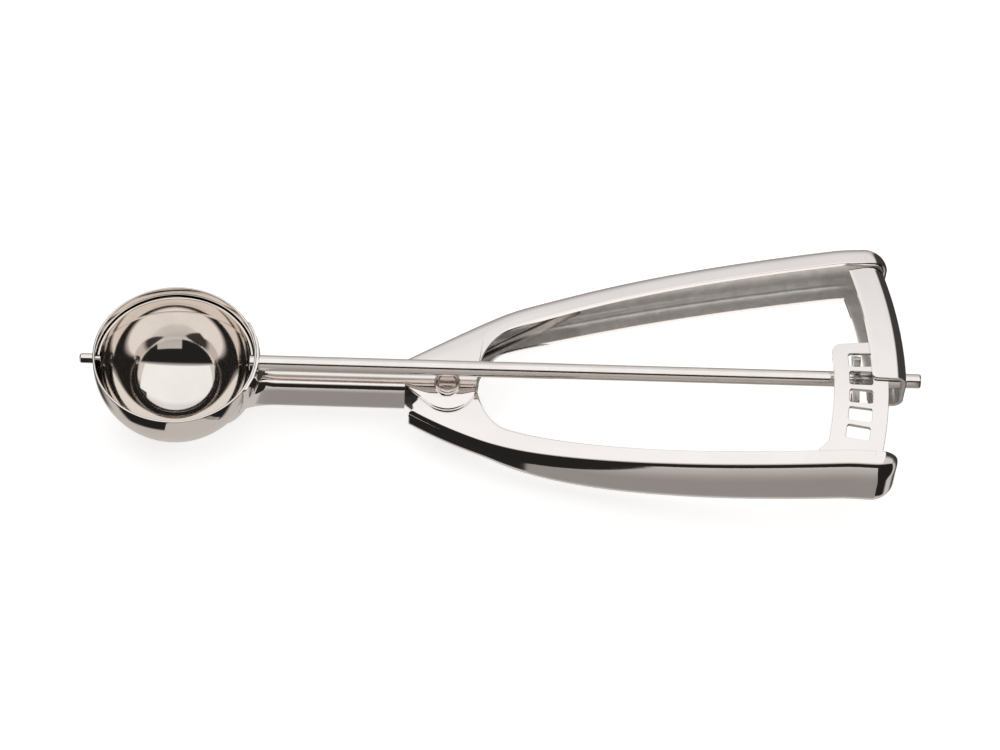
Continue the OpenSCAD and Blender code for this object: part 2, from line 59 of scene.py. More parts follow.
SHEET, PIVOT_X, PIVOT_Y, EAR_R, EAR_STEP, EAR_DROP = 1.2, 75.0, -2.0, 8.1, 0.9, 4.6
FLANGE, CROTCH_FILL, CROTCH_FADE, CROTCH_R = 6.4, 1.2, 22.0, 8.5
FIXED_SPREAD, FIXED_ROOT, FIXED_BOW, BOW_LEAD = 43.2, 11.3, 58.0, 2.8
LEVER_SPREAD, LEVER_ROOT, LEVER_BOW = 36.4, 10.7, 42.0
RISE_X, RISE_PAST, ARM_H, GROW_LEN, GROW_LEAD, END_CORNER = 101.3, 1.4, 18.8, 31.0, 3.0, 6.5
NECK_W, NECK_H, NECK_CORNER, NECK_END = 9.2, 10.8, 2.0, 63.3
SADDLE_W, SADDLE_T, SADDLE_CORNER, SADDLE_DROP = 23.0, 0.9, 4.5, 1.2
FLARE_LEN, FLARE_SIDE, FLARE_UP = 4.5, 4.6, 1.8
STRAP_GAP, STRAP_DEPTH, STRAP_H, STRAP_T, STRAP_CORNER = 4.1, 9.7, 14.2, 1.0, 3.0
STRAP_PAST, STRAP_TUCK, RACK_COVER = 4.0, 1.4, 0.13
RIVET_R, RIVET_HEAD_R, RIVET_HEAD_T, DISH_R, DISH_DEPTH, BUSH_R = 1.95, 3.6, 1.1, 3.0, 0.7, 3.0
SPRING_T, SPRING_W, SPRING_TIP_X, SPRING_BEND_X, SPRING_BEND_Y = 0.9, 4.0, 112.0, 6.0, 10.6
RUN_GAP, SIDE_GAP = 0.05, 0.1
# The second gap sets how far below the bowl the glowing patches of painted reflection lie.
FLOOR_GAP, PAPER_GAP = 0.05, 0.02

# Small forms that only the looks need
ROD_EDGE, STEP_EDGE, STUB_EDGE, UNDERCUT = 0.15, 0.1, 0.12, 0.02
BAND_END, BAND_STEPS = 3.5, 90          # angle in degrees between the band's end and the rod's axis
TOOTH_FOOT, TOOTH_EASE, TOOTH_EASE_W, TOOTH_FLANK = 0.15, 0.25, 0.2, 0.02
PINION_EDGE, HUB_CHAMFER = 0.14, 0.25
LOW_HEAD_CORNER, LOW_HEAD_FLAT, DISH_CORNER, DISH_WALL, DISH_SAG = 0.7, 0.55, 0.45, 0.2, 0.05
STRAP_FREE_CORNER = 1.5
FLARE_FOOT_BEND = 1.5                   # run of the rack plate's inner bend, in widths of its flare
JOGGLE_LEAD, JOGGLE_RUN = 0.4, 1.6      # where the rack plate bends up under the lever's flange
SPRING_LEG_GAP = 0.35
SADDLE_TOP_CORNER, THIN_EDGE, THIN_RUN = 0.6, 0.62, 0.3     # the plate on the bowl thins at its edge
EAR_CUT = 240                           # bearing in degrees where the handle's ear turns round
LEVER_TIP_DEPTH, LEVER_EAR_BASE, LEVER_LEAST = 0.6, 3, 0.2
CROTCH_SHIFT = 0.06
BORE_PAST = 3                           # run of a drill past the wall that it cuts
PLATE_SHARP = 30                        # angle in degrees past which a plate's edge stays crisp
FLAT_FACE = 0.999                       # upward part of a normal from which a face is flat

BOWL_IN_R = BOWL_R - BOWL_WALL
BAND_OUT_R = BOWL_IN_R - BAND_GAP
BAND_IN_R = BAND_OUT_R - BAND_T
BAND_ANGLE = BAND_W / BAND_OUT_R
STUB_X = BOWL_R + SIDE_GAP
EAR_TOP = -EAR_DROP
EAR_BOTTOM = EAR_TOP - NECK_H
LEVER_TOP = EAR_TOP - SHEET - SIDE_GAP
LEVER_BOTTOM = EAR_BOTTOM + SHEET + SIDE_GAP
SADDLE_R = BOWL_R + SIDE_GAP / 2
SADDLE_BOTTOM = EAR_BOTTOM - SADDLE_DROP
FLARE_TOP = EAR_TOP + FLARE_UP
FLARE_BOTTOM = EAR_BOTTOM - SADDLE_DROP / 2
FLARE_W = NECK_W + 2 * FLARE_SIDE
NECK_START = SADDLE_R + SADDLE_T + FLARE_LEN
PINION_X = PIVOT_X + RACK_R - SLOT_LEN / 8
PITCH_R = (PINION_X - PIVOT_X) * RACK_PITCH * TEETH / 360
RACK_Z = PITCH_R
ROD_BEARING = atan(-PIVOT_Y / (PINION_X - PIVOT_X))
TOOTH_PHASE = (radians(RACK_FIRST) - ROD_BEARING) * (360 / TEETH) / RACK_PITCH
RACK_IN, RACK_OUT = RACK_R - RACK_W / 2, RACK_R + RACK_W / 2
STRAP_R = RACK_OUT + STRAP_GAP + STRAP_T
BOW_START = NECK_END - BOW_LEAD
NECK_SLOPE = 0.65
WEB_BLEND, RISE_BLEND, TOP_BLEND, GROW_BLEND = 1.2, 0.5, 0.1, 1.0
LEVER_START = NECK_END + SHEET
LEVER_EAR_R = EAR_R - EAR_STEP
CROTCH_X = PIVOT_X + EAR_R - SIDE_GAP / 2
STRAP_TOP = RACK_Z + RACK_T / 2 + RACK_COVER + STRAP_T
STRAP_IN_X = PIVOT_X + sqrt((STRAP_R - STRAP_DEPTH) ** 2 - FIXED_SPREAD ** 2)
STRAP_COVER = STRAP_TOP + SHEET + SIDE_GAP / 2
ARM_RISE = (STRAP_COVER + EAR_DROP) / (STRAP_IN_X - RISE_X)
ARM_TOP = STRAP_COVER + ARM_RISE * RISE_PAST
FIXED_SHOULDER, FIXED_SHOULDER_RUN = 4.0, 26.0
LEVER_SHOULDER, LEVER_TIP_SHOULDER, LEVER_SHOULDER_RUN, SHOULDER_SHARE = 5.0, 3.2, 28.0, 0.3
SIDE_BLEND = 0.35               # softness of the turn from the neck's side to the arm


def soft_min(a, b, w):
    """Smaller of two values, with a soft turn of width w where they cross."""
    return min(a, b) - w * log(1 + exp(-abs(a - b) / w))


def ramp(x, w):
    """Zero that turns softly into x."""
    return x if x > 8 * w else w * log(1 + exp(x / w))


def bowed(spread, root, run, length):
    """Bowed line that starts at root and nears spread."""
    return spread - (spread - root) * exp(-run / length)


def web(side, x):
    """Outer face of an arm's web, as a distance from the rod's plane."""
    if side > 0:
        return soft_min(NECK_W / 2 + NECK_SLOPE * (x - BOW_START),
                        bowed(FIXED_SPREAD, FIXED_ROOT, x - BOW_START, FIXED_BOW), WEB_BLEND)
    return bowed(LEVER_SPREAD, LEVER_ROOT, x - LEVER_START, LEVER_BOW)


def straight_edge(side, x):
    """Free edge of an arm's flange, deeper near the ears."""
    return web(side, x) - FLANGE - CROTCH_FILL * exp((CROTCH_X - x) / CROTCH_FADE)


def inner_edge(side, x):
    """Free edge of the flange, rounded into the ear at the crotch."""
    u = max(0.0, min(1.0, (CROTCH_X + CROTCH_R - x) / CROTCH_R))
    return straight_edge(side, x) - straight_edge(side, CROTCH_X) * (1 - sqrt(1 - u * u))


def top_z(x, top):
    """Height of an upper face, which is flat at the ears and rises along the arm."""
    return soft_min(top + ramp(ARM_RISE * (x - RISE_X) - EAR_DROP - top, RISE_BLEND), ARM_TOP,
                    TOP_BLEND)


def tall(x, h):
    """Height of an arm, which grows from h at the ears."""
    return ARM_H - (ARM_H - h) * exp(-ramp(x - PIVOT_X - EAR_R - GROW_LEAD, GROW_BLEND) / GROW_LEN)


ARM_IN_Y = web(1, STRAP_IN_X) - FLANGE - PIVOT_Y
ARM_END = PIVOT_X + sqrt(STRAP_R ** 2 - ARM_IN_Y ** 2) + SIDE_GAP + SHEET
CORNER_X = ARM_END - END_CORNER
STRAP_MID = STRAP_TOP - STRAP_H / 2
STRAP_END_Y = web(1, CORNER_X) - FLANGE + STRAP_TUCK
STRAP_WEB_X = PIVOT_X + sqrt((STRAP_R - STRAP_T) ** 2 - PIVOT_Y ** 2)
END_SHOULDER = PIVOT_X + sqrt(STRAP_R ** 2 - PIVOT_Y ** 2) + SIDE_GAP
ROD_END = PIVOT_X + STRAP_R + TAIL_LEN
RACK_HIGH = radians(RACK_FIRST + RACK_LEAD)
TAB_EDGE = web(-1, CORNER_X) - FLANGE
RACK_LOW = -asin((TAB_EDGE + PIVOT_Y) / RACK_R)
TAB_DEPTH = FLANGE / 2
BUSH_TOP = LEVER_TOP - SHEET - SIDE_GAP / 2
BUSH_BOTTOM = LEVER_BOTTOM + SHEET + SIDE_GAP / 2
SPRING_MID = (BUSH_TOP + BUSH_BOTTOM) / 2
COIL_R = BUSH_R + 2 * SIDE_GAP


# ---- Meshes ----

def linked(name, data):
    """New object in the scene."""
    obj = bpy.data.objects.new(name, data)
    bpy.context.scene.collection.objects.link(obj)
    return obj


def cleaned(mesh, dissolve=False):
    """Merges doubled points of a mesh and turns its faces outwards."""
    bm = bmesh.new()
    bm.from_mesh(mesh)
    bmesh.ops.remove_doubles(bm, verts=bm.verts, dist=2e-6)
    if dissolve:
        bmesh.ops.dissolve_degenerate(bm, edges=bm.edges, dist=1e-7)
    bmesh.ops.recalc_face_normals(bm, faces=bm.faces)
    bm.to_mesh(mesh)
    bm.free()
    return mesh


def piece(name, points, faces, materials, sharp=40):
    """New mesh piece from points in mm; a face is its corners, or (corners, material number)."""
    mesh = bpy.data.meshes.new(name)
    plain = [f[0] if isinstance(f[0], (list, tuple)) else f for f in faces]
    mesh.from_pydata([[c * MM for c in p] for p in points], [], plain)
    for m in materials:
        mesh.materials.append(m)
    for polygon, f in zip(mesh.polygons, faces):
        polygon.material_index = f[1] if isinstance(f[0], (list, tuple)) else 0
    obj = linked(name, cleaned(mesh, dissolve=True))
    shade(obj, sharp)
    return obj


def shade(obj, sharp=40):
    """Smooth shading, crisp at edges that turn by more than sharp degrees."""
    obj.data.shade_smooth()
    obj.data.set_sharp_from_angle(angle=radians(sharp))


def settle(obj, sharp=40):
    """Applies the modifiers of a piece to its mesh."""
    graph = bpy.context.evaluated_depsgraph_get()
    graph.update()
    mesh = bpy.data.meshes.new_from_object(obj.evaluated_get(graph))
    obj.modifiers.clear()
    obj.data = mesh
    shade(obj, sharp)
    return obj


def ease(obj, width=0.12, angle=50, segments=2):
    """Rounds the sharp edges of a piece by width, in mm."""
    bevel = obj.modifiers.new("Eased edges", "BEVEL")
    bevel.width, bevel.segments = width * MM, segments
    bevel.limit_method, bevel.angle_limit = "ANGLE", radians(angle)
    bevel.harden_normals = False
    return settle(obj)


def bore(obj, start, end, r):
    """Drills a round hole through a piece, between two points in mm."""
    a, b = Vector(start) * MM, Vector(end) * MM
    mesh = bpy.data.meshes.new("drill")
    bm = bmesh.new()
    bmesh.ops.create_cone(bm, cap_ends=True, segments=48, radius1=r * MM, radius2=r * MM,
                          depth=(b - a).length)
    turn = (b - a).to_track_quat("Z", "Y").to_matrix().to_4x4()
    bmesh.ops.transform(bm, matrix=Matrix.Translation((a + b) / 2) @ turn, verts=bm.verts)
    bm.to_mesh(mesh)
    bm.free()
    drill = linked("drill", mesh)
    cut = obj.modifiers.new("Bore", "BOOLEAN")
    cut.operation, cut.object, cut.solver = "DIFFERENCE", drill, "EXACT"
    settle(obj)
    bpy.data.objects.remove(drill)
    return obj


def rivet_bore(obj):
    """Drills both ears of a piece for the rivet."""
    return bore(obj, (PIVOT_X, PIVOT_Y, EAR_BOTTOM - 1), (PIVOT_X, PIVOT_Y, EAR_TOP + 1),
                RIVET_R + RUN_GAP)


def grid_faces(rows, columns, closed=False, start=0, material=0):
    """Quads between rows of points, joined across the last column when closed."""
    span = columns if closed else columns - 1
    return [([start + i * columns + k, start + i * columns + (k + 1) % columns,
              start + (i + 1) * columns + (k + 1) % columns, start + (i + 1) * columns + k], material)
            for i in range(rows - 1) for k in range(span)]


def lathe(name, profile, materials, axis="Z", centre=(0, 0, 0), turns=96, sharp=40):
    """Turned piece: profile is (radius, along) in mm."""
    points, faces = [], []
    for r, h in profile:
        for k in range(turns):
            c, s = r * cos(2 * pi * k / turns), r * sin(2 * pi * k / turns)
            p = (c, s, h) if axis == "Z" else (h, c, s)
            points.append([p[i] + centre[i] for i in range(3)])
    for i in range(len(profile) - 1):
        for k in range(turns):
            j = (k + 1) % turns
            faces.append([i * turns + k, i * turns + j, (i + 1) * turns + j, (i + 1) * turns + k])
    return piece(name, points, faces, materials, sharp)


def arc2(cx, cy, r, a0, a1, n):
    """Points of an arc, with angles in degrees."""
    return [(cx + r * cos(radians(a0 + (a1 - a0) * i / n)), cy + r * sin(radians(a0 + (a1 - a0) * i / n)))
            for i in range(n + 1)]


def turned(x, y, t, centre=(0, 0)):
    """Point turned by t radians about the origin, then moved to a centre."""
    return centre[0] + x * cos(t) - y * sin(t), centre[1] + x * sin(t) + y * cos(t)


# ---- Pressed channels ----

# Columns across a flange, round a shoulder, down a web and round the neck's open side
FLAT, BEND, WALL, TAIL = 6, 9, 8, 6
PLATE_ROWS, FLARE_ROWS = 8, 13          # rows across the plate on the bowl and along the flare
SOFT_SPREAD = 1.2                       # width of the neck's soft corner, as a share of its height
TURN_START, TURN_STEP, TURN_FINE, TURN_FINE_FROM = 86.0, 4.0, 1.0, 26   # degrees round an arm's end
TURN_LEAST = 0.15                       # flange left past the sheet where the turn stops


def shoulder(side, x):
    """Radius of the bend between an arm's flange and its web."""
    if side > 0:
        share = max(0.0, min(1.0, (x - BOW_START) / FIXED_SHOULDER_RUN))
        return NECK_CORNER + (FIXED_SHOULDER - NECK_CORNER) * share
    share = max(0.0, min(1.0, (x - LEVER_START) / LEVER_SHOULDER_RUN))
    full = LEVER_TIP_SHOULDER + (LEVER_SHOULDER - LEVER_TIP_SHOULDER) * share
    return min(full, SHOULDER_SHARE * tall(x, LEVER_TOP - LEVER_BOTTOM))


def half_section(p, n, e, r, inset):
    """Upper half of a channel's section, as (x, y, drop) from its free edge round to the wall.
    p is a point of the outer face, n its inward normal, e the free edge and r the bend."""
    depth = hypot(e[0] - p[0], e[1] - p[1])
    q = (p[0] + n[0] * r, p[1] + n[1] * r)
    out = []
    if depth > r:
        clip = 90.0
        out += [(e[0] + (q[0] - e[0]) * j / FLAT, e[1] + (q[1] - e[1]) * j / FLAT, 0.0)
                for j in range(FLAT)]
    else:
        clip = degrees(acos(max(0.0, min(1.0, (r - depth) / max(r - inset, 1e-6)))))
    rr = r - inset
    for k in range(BEND + 1):
        t = radians(clip * (1 - k / BEND))
        d = r - rr * cos(t)
        out.append((p[0] + n[0] * d, p[1] + n[1] * d, rr * (1 - sin(t))))
    if depth <= r:
        out = [out[0]] * FLAT + out
    return out


def section(p, n, e, r, top, height, inset):
    """Points of a channel's section, from the edge of the upper flange to that of the lower one."""
    half = half_section(p, n, e, r, inset)
    upper = [(x, y, top_z(x, top) - inset - drop) for x, y, drop in half]
    lower = [(x, y, top_z(x, top) - tall(x, height) + inset + drop) for x, y, drop in half]
    a, b = upper[-1], lower[-1]
    wall = [(a[0], a[1], a[2] + (b[2] - a[2]) * k / WALL) for k in range(1, WALL)]
    return upper + wall + lower[::-1]


def sheet_solid(name, outer, inner, materials, closed_rows=0, tail_columns=0):
    """Closed sheet between two grids of points. The first closed_rows rows join round their
    tail_columns last columns, which the other rows lack."""
    points, faces, index = [], [], {}
    columns = len(outer[-1])

    def at(layer, i, k):
        key = (layer, i, k)
        if key not in index:
            index[key] = len(points)
            points.append((outer if layer == 0 else inner)[i][k])
        return index[key]

    rows = len(outer)
    for i in range(rows - 1):
        wide = columns + tail_columns if i + 1 < closed_rows else columns
        loop = i + 1 < closed_rows
        for k in range(wide if loop else wide - 1):
            j = (k + 1) % wide
            faces.append(([at(0, i, k), at(0, i, j), at(0, i + 1, j), at(0, i + 1, k)], 0))
            faces.append(([at(1, i, k), at(1, i + 1, k), at(1, i + 1, j), at(1, i, j)], 1))
        if not loop:
            for k in (0, columns - 1):
                faces.append(([at(0, i, k), at(0, i + 1, k), at(1, i + 1, k), at(1, i, k)], 0))
    if closed_rows:
        wide = columns + tail_columns
        for k in range(wide):
            j = (k + 1) % wide
            faces.append(([at(0, 0, k), at(1, 0, k), at(1, 0, j), at(0, 0, j)], 0))
        last = closed_rows - 1
        for k in range(columns - 1, wide):
            j = (k + 1) % wide
            faces.append(([at(0, last, k), at(0, last, j), at(1, last, j), at(1, last, k)], 0))
    else:
        for k in range(columns - 1):
            faces.append(([at(0, 0, k), at(1, 0, k), at(1, 0, k + 1), at(0, 0, k + 1)], 0))
    for k in range(columns - 1):
        faces.append(([at(0, rows - 1, k), at(0, rows - 1, k + 1),
                       at(1, rows - 1, k + 1), at(1, rows - 1, k)], 0))
    return piece(name, points, faces, materials)


def spaced(a, b, n):
    """Values from a to b in n even steps."""
    return [a + (b - a) * i / n for i in range(n + 1)]


def inward(curve, x, step=0.01):
    """Normal of a curve y(x), towards the rod."""
    slope = (curve(x + step) - curve(x - step)) / (2 * step)
    size = sqrt(1 + slope * slope)
    return slope / size, -1 / size


def arm_stations(side, xs, outline_edge):
    """Stations along an arm and round its end: outer point, inward normal and inner edge point,
    drawn at +Y."""
    out = []
    for x in xs:
        out.append(((x, web(side, x)), inward(lambda at: web(side, at), x), (x, outline_edge(x))))
    centre = (CORNER_X, web(side, CORNER_X) - END_CORNER)
    edge = inner_edge(side, CORNER_X)
    gap = edge - centre[1]
    angle = TURN_START
    while END_CORNER - gap / sin(radians(angle)) >= SHEET + TURN_LEAST:
        t = radians(angle)
        out.append(((centre[0] + END_CORNER * cos(t), centre[1] + END_CORNER * sin(t)),
                    (-cos(t), -sin(t)), (centre[0] + gap / tan(t), edge)))
        angle -= TURN_STEP if angle > TURN_FINE_FROM else TURN_FINE
    return out


def soft_corner(size):
    """Corner from a wall up to the top, nearly flat where it leans back by 30 to 45 degrees."""
    step, nearly_flat, tight = 3, 3.0, 0.75
    points, x, z = [(0.0, 0.0)], 0.0, 0.0
    for lean in range(90 - step, 0, -step):
        r = nearly_flat if 30 <= lean <= 45 else tight
        x += r * sin(radians(90 - lean)) * radians(step)
        z += r * cos(radians(90 - lean)) * radians(step)
        points.append((x, z))
    return [(a / x * size * SOFT_SPREAD, b / z * size) for a, b in points]


def ring(half_w, top, bottom, r_top, r_bottom):
    """Closed ring of (y, z) with the columns of a neck section."""
    left = half_w - r_top * SOFT_SPREAD
    upper = [(-left + (left + half_w - r_top) * j / FLAT, top) for j in range(FLAT)]
    upper += arc2(half_w - r_top, top - r_top, r_top, 90, 0, BEND)
    lower = [((half_w - r_bottom) * (2 * j / FLAT - 1), bottom) for j in range(FLAT)]
    lower += arc2(half_w - r_bottom, bottom + r_bottom, r_bottom, 270, 360, BEND)
    high, low = top - r_top, bottom + r_bottom
    wall = [(half_w, high + (low - high) * k / WALL) for k in range(1, WALL)]
    tail = arc2(r_bottom - half_w, low, r_bottom, 270, 180, TAIL)[1:]
    tail += [(-half_w, low + (high - low) * k / TAIL) for k in range(1, TAIL)]
    tail += [(y - half_w, high + z) for y, z in soft_corner(r_top)[:-1]]
    return upper + wall + lower[::-1] + tail


def on_ball(r, y, z):
    """X of a point on a bowl of radius r, whose rim is straight above z = 0."""
    return sqrt(r * r - y * y - min(z, 0.0) ** 2)


def mixed(a, b, t):
    """Ring a share t of the way from ring a to ring b."""
    return [(p[0] + (q[0] - p[0]) * t, p[1] + (q[1] - p[1]) * t) for p, q in zip(a, b)]


def saddle_rows(inset):
    """Rows of the plate on the bowl and of the flare, from the plate's outline to the neck."""
    outline = ring(SADDLE_W / 2, RIM_H, SADDLE_BOTTOM, SADDLE_TOP_CORNER, SADDLE_CORNER)
    lining = inset > 0
    foot_inset = SADDLE_T if lining else 0.0
    foot = ring(FLARE_W / 2 - foot_inset, FLARE_TOP - foot_inset, FLARE_BOTTOM + foot_inset,
                SADDLE_CORNER - foot_inset, SADDLE_CORNER - foot_inset)
    rows = []
    for k in range(PLATE_ROWS):
        t = k / PLATE_ROWS
        thick = SADDLE_T * (THIN_EDGE + (1 - THIN_EDGE) * min(1.0, t / THIN_RUN))
        r = SADDLE_R if lining else SADDLE_R + thick
        rows.append([(on_ball(r, y, z), y, z) for y, z in mixed(outline, foot, t)])
    narrow = ring(NECK_W / 2 - inset, EAR_TOP - inset, EAR_BOTTOM + inset,
                  NECK_CORNER - inset, NECK_CORNER - inset)
    base = SADDLE_R if lining else SADDLE_R + SADDLE_T
    for k in range(FLARE_ROWS):
        turn = radians(90 * k / FLARE_ROWS)
        t, s = 1 - cos(turn), sin(turn)
        rows.append([(on_ball(base, *w) + (NECK_START - on_ball(base, *w)) * t, y, z)
                     for w, (y, z) in zip(foot, mixed(foot, narrow, s))])
    return rows


def crotch_stations():
    """Stations close together where an arm leaves its ears."""
    return [CROTCH_X + CROTCH_SHIFT + CROTCH_R * (1 - cos(radians(a))) for a in range(4, 91, 5)]


def fixed_handle(materials):
    """Saddle, flare, neck tube, two ears and the fixed arm, pressed from one sheet."""
    half_w = NECK_W / 2
    neck_y = NECK_CORNER - half_w
    ear_x, ear_y = turned(EAR_R, 0, radians(EAR_CUT), (PIVOT_X, PIVOT_Y))

    def lower_edge(x):
        if x < ear_x:
            return neck_y + (ear_y - neck_y) * (x - NECK_END) / (ear_x - NECK_END)
        if x < PIVOT_X + EAR_R - 0.02:
            return PIVOT_Y - sqrt(EAR_R ** 2 - (x - PIVOT_X) ** 2)
        return inner_edge(1, x)

    def side_y(x):
        if x < BOW_START - 4:
            return half_w
        w = web(1, x)
        return max(half_w, w) + SIDE_BLEND * log(1 + exp(-abs(half_w - w) / SIDE_BLEND))

    outer, inner = saddle_rows(0.0), saddle_rows(SHEET)
    fine_from = BOW_START - 3
    for x in spaced(NECK_START, fine_from, 8) + spaced(fine_from, NECK_END, 10)[1:]:
        r = shoulder(1, x)
        station = ((x, side_y(x)), inward(side_y, x), (x, neck_y))
        for rows, inset in ((outer, 0.0), (inner, SHEET)):
            tail = ring(half_w - inset, EAR_TOP - inset, EAR_BOTTOM + inset,
                        NECK_CORNER - inset, NECK_CORNER - inset)
            across = section(*station, r, EAR_TOP, NECK_H, inset)
            rows.append(across + [(x, y, z) for y, z in tail[len(across):]])
    closed_rows, tail_columns = len(outer), len(tail) - len(across)
    near = spaced(NECK_END, ear_x, 8)[1:]
    near += [PIVOT_X + EAR_R * sin(radians(a)) for a in range(-26, 90, 4)]
    near += [PIVOT_X + EAR_R - 0.01]
    crotch = crotch_stations()
    far = spaced(crotch[-1], CORNER_X, 40)[1:]
    for p, n, e in arm_stations(1, near + crotch + far, lower_edge):
        p = (p[0], side_y(p[0])) if p[0] < NECK_END + 6 else p
        for rows, inset in ((outer, 0.0), (inner, SHEET)):
            rows.append(section(p, n, e, shoulder(1, p[0]), EAR_TOP, NECK_H, inset))
    handle = sheet_solid("fixed_handle_pressing", outer, inner, materials, closed_rows, tail_columns)
    bore(handle, (BOWL_R - BORE_PAST, 0, 0), (BOWL_R + BORE_PAST, 0, 0), ROD_R + 3 * RUN_GAP)
    return ease(rivet_bore(handle))


def squeeze_lever(materials):
    """Channel lever with two ears between those of the handle."""
    ear_x = PIVOT_X - LEVER_EAR_R

    def edge(x):
        if x < ear_x:
            u = (x - LEVER_START) / (ear_x - LEVER_START)
            return (LEVER_ROOT - LEVER_TIP_DEPTH) * (1 - u) + (LEVER_EAR_BASE - PIVOT_Y) * u
        if x < PIVOT_X + LEVER_EAR_R:
            return -PIVOT_Y - sqrt(max(0.0, LEVER_EAR_R ** 2 - (x - PIVOT_X) ** 2))
        return max(inner_edge(-1, x), LEVER_LEAST)

    xs = spaced(LEVER_START, ear_x, 6)[:-1]
    xs += [PIVOT_X - LEVER_EAR_R * cos(radians(a)) for a in range(0, 181, 6)]
    xs += crotch_stations()
    xs += spaced(xs[-1], CORNER_X, 40)[1:]
    outer, inner = [], []
    height = LEVER_TOP - LEVER_BOTTOM
    for p, n, e in arm_stations(-1, xs, edge):
        r = shoulder(-1, p[0])
        for rows, inset in ((outer, 0.0), (inner, SHEET)):
            across = section(p, n, e, r, LEVER_TOP, height, inset)
            rows.append([(x, -y, z) for x, y, z in across])
    lever = sheet_solid("squeeze_lever_pressing", outer, inner, materials)
    return ease(rivet_bore(lever))


def end_strap(materials):
    """Channel bent round the pivot, which carries the rod's tail and guides the rack."""
    start = asin((-STRAP_PAST - PIVOT_Y) / STRAP_R)
    stop = asin((STRAP_END_Y - PIVOT_Y) / STRAP_R)
    length = (stop - start) * STRAP_R
    outer, inner = [], []
    corner = [STRAP_FREE_CORNER * k for k in (0, 1 / 15, 0.2, 0.4, 2 / 3, 1)]
    for s in corner + spaced(STRAP_FREE_CORNER, length, 44)[1:]:
        t = start + s / STRAP_R
        depth = STRAP_DEPTH
        if s < STRAP_FREE_CORNER:
            depth -= STRAP_FREE_CORNER - sqrt(STRAP_FREE_CORNER ** 2 - (STRAP_FREE_CORNER - s) ** 2)
        for rows, inset in ((outer, 0.0), (inner, STRAP_T)):
            half = [(depth + (STRAP_CORNER - depth) * j / FLAT, STRAP_H / 2 - inset)
                    for j in range(FLAT)]
            half += [(STRAP_CORNER - d, STRAP_H / 2 - STRAP_CORNER + z) for d, z in
                     arc2(0, 0, STRAP_CORNER - inset, 90, 0, BEND)]
            wall = [(inset, (STRAP_H / 2 - STRAP_CORNER) * (1 - 2 * k / WALL))
                    for k in range(1, WALL)]
            across = half + wall + [(d, -z) for d, z in half[::-1]]
            rows.append([(PIVOT_X + (STRAP_R - d) * cos(t), PIVOT_Y + (STRAP_R - d) * sin(t),
                          STRAP_MID + z) for d, z in across])
    strap = sheet_solid("end_strap_channel", outer, inner, materials)
    bore(strap, (STRAP_WEB_X - BORE_PAST, 0, 0), (ROD_END, 0, 0), ROD_R + RUN_GAP)
    return ease(strap)


# ---- Bowl, rod and small pieces ----

def bowl(materials):
    """Spun hemisphere with a straight rim and a rounded lip."""
    profile = [(BOWL_R * cos(radians(a)), BOWL_R * sin(radians(a))) for a in range(-90, 1, 2)]
    profile += [(BOWL_R, RIM_H - LIP_R)]
    profile += arc2(BOWL_R - LIP_R, RIM_H - LIP_R, LIP_R, 0, 90, 4)[1:]
    profile += arc2(BOWL_IN_R + LIP_R, RIM_H - LIP_R, LIP_R, 90, 180, 4)
    profile += [(BOWL_IN_R * cos(radians(a)), BOWL_IN_R * sin(radians(a))) for a in range(0, -91, -2)]
    shell = lathe("bowl_shell", profile, materials, turns=160)
    for side, r in ((1, ROD_R), (-1, STUB_NECK_R)):
        bore(shell, (side * (BOWL_IN_R - BORE_PAST), 0, 0), (side * (BOWL_R + BORE_PAST), 0, 0),
             r + RUN_GAP)
    return ease(shell, 0.06)


def scraper_band(materials):
    """Thin band on the bowl's wall, which narrows towards the rod's axis."""
    rows = []
    for angle in spaced(BAND_END, 180 - BAND_END, BAND_STEPS):
        t = radians(angle)
        row = []
        for r in (BAND_OUT_R, BAND_IN_R):
            angles = [BAND_ANGLE * k / 8 for k in range(9)]
            for d in angles if r == BAND_OUT_R else angles[::-1]:
                row.append((r * cos(t), r * sin(t) * cos(d), -r * sin(t) * sin(d)))
        rows.append(row)
    columns = len(rows[0])
    points = [p for row in rows for p in row]
    faces = grid_faces(len(rows), columns, closed=True)
    faces += [(list(range(columns)), 0), ([len(points) - columns + k for k in range(columns)], 0)]
    return ease(piece("scraper_band", points, faces, materials), 0.1)


def drive_rod(materials):
    """Long rod with eased ends and a turned-down tail."""
    c, near_end = END_CHAMFER, BAND_IN_R - ROD_INSIDE
    profile = [(0, near_end), (ROD_R - ROD_EDGE, near_end), (ROD_R, near_end + ROD_EDGE)]
    profile += [(ROD_R, x) for x in spaced(BAND_IN_R, END_SHOULDER - STEP_EDGE, 12)]
    profile += [(ROD_R - STEP_EDGE, END_SHOULDER), (END_R, END_SHOULDER + UNDERCUT)]
    profile += [(r, x) for x, r in arc2(ROD_END - c, END_R - c, c, 90, 0, 6)] + [(0, ROD_END)]
    return lathe("scraper_rod", profile, materials, axis="X", turns=72)


def scraper_stub(materials):
    """Stub with a chamfered outer end and a thin neck through the bowl's wall."""
    c, e = END_CHAMFER, STUB_EDGE
    far_end, near_end = -STUB_X - STUB_LEN, ROD_INSIDE - BAND_IN_R
    profile = [(0, far_end), (STUB_R - c, far_end), (STUB_R - e / 2, far_end + c - e),
               (STUB_R, far_end + c + STEP_EDGE), (STUB_R, -STUB_X - e), (STUB_R - e, -STUB_X),
               (STUB_NECK_R, -STUB_X + UNDERCUT), (STUB_NECK_R, near_end - STEP_EDGE),
               (STUB_NECK_R - STEP_EDGE, near_end), (0, near_end)]
    return lathe("scraper_stub_pin", profile, materials, axis="X", turns=48, sharp=25)


